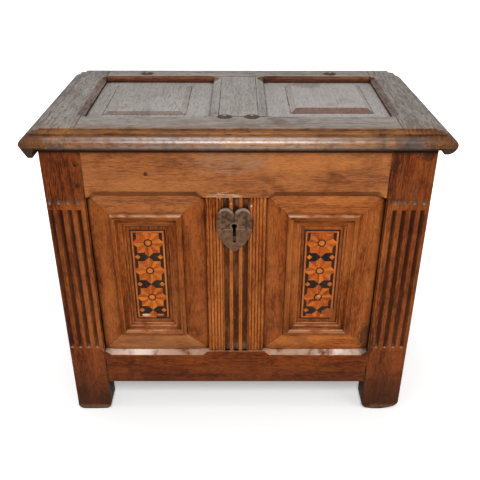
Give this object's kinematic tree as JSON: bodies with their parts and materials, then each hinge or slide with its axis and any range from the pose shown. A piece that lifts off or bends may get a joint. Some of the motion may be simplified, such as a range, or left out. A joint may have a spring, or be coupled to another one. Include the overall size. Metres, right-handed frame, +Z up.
{
  "type": "coffer chest",
  "caption": "Old oak coffer chest with fielded panels, star-flower marquetry plaques, a fluted front and a moulded lid with iron hinges and lock.",
  "frame": {"origin": "on the floor, under the middle of the lid", "axes": "+X along the front to the right as seen from the front, +Y from front to back, +Z up"},
  "size_m": [0.75, 0.405, 0.647],
  "materials": {
    "oak_case": "waxed",
    "oak_lid": "weathered",
    "inlay_light": "waxed",
    "inlay_shaded": "waxed",
    "inlay_dark": "waxed",
    "wrought_iron": "dark worn iron"
  },
  "bodies": {
    "case": {"post_front_left": "oak_case", "post_front_right": "oak_case", "post_back_left": "oak_case", "post_back_right": "oak_case", "rail_front_top": "oak_case", "rail_front_bottom": "oak_case", "muntin_front": "oak_case", "panel_front_left": "oak_case", "panel_front_right": "oak_case", "bevel_boards_left": "oak_case", "bevel_boards_right": "oak_case", "panel_moulding_left": "oak_case", "panel_moulding_right": "oak_case", "rail_left_top": "oak_case", "rail_left_bottom": "oak_case", "panel_left": "oak_case", "rail_right_top": "oak_case", "rail_right_bottom": "oak_case", "panel_right": "oak_case", "rail_back_top": "oak_case", "rail_back_bottom": "oak_case", "muntin_back": "oak_case", "panel_back_left": "oak_case", "panel_back_right": "oak_case", "joint_pegs": "oak_case", "bottom_boards": "oak_case", "inlay_border_left": "inlay_dark", "inlay_ground_left": "inlay_dark", "inlay_string_left": "inlay_light", "inlay_lit_veneers_left": "inlay_light", "inlay_shaded_veneers_left": "inlay_shaded", "inlay_border_right": "inlay_dark", "inlay_ground_right": "inlay_dark", "inlay_string_right": "inlay_light", "inlay_lit_veneers_right": "inlay_light", "inlay_shaded_veneers_right": "inlay_shaded", "escutcheon": "wrought_iron", "escutcheon_tacks": "wrought_iron", "lock_plate": "wrought_iron", "lock_guides": "wrought_iron", "lock_spring": "wrought_iron", "lock_cover": "wrought_iron", "lock_key_pin": "wrought_iron", "lock_nails": "wrought_iron", "hinge_case_leaves": "wrought_iron", "hinge_pins": "wrought_iron", "hinge_nails": "wrought_iron"},
    "lid": {"lid_rail_front": "oak_lid", "lid_rail_back": "oak_lid", "lid_stile_left": "oak_lid", "lid_stile_right": "oak_lid", "lid_muntin": "oak_lid", "lid_panel_left": "oak_lid", "lid_panel_right": "oak_lid", "hinge_lid_leaves": "wrought_iron", "lid_staple": "wrought_iron", "lid_rivets": "wrought_iron"},
    "lock_bolt": {"lock_bolt": "wrought_iron"}
  },
  "joints": [
    {"name": "lid_hinge", "type": "hinge", "parent": "case", "child": "lid", "pos_m": [0, 0.1964, 0.6095], "axis": [-1, 0, 0], "range_deg": [0, 105]},
    {"name": "lock_bolt_slide", "type": "slide", "parent": "case", "child": "lock_bolt", "axis": [1, 0, 0], "range_m": [0, 0.022]}
  ]
}
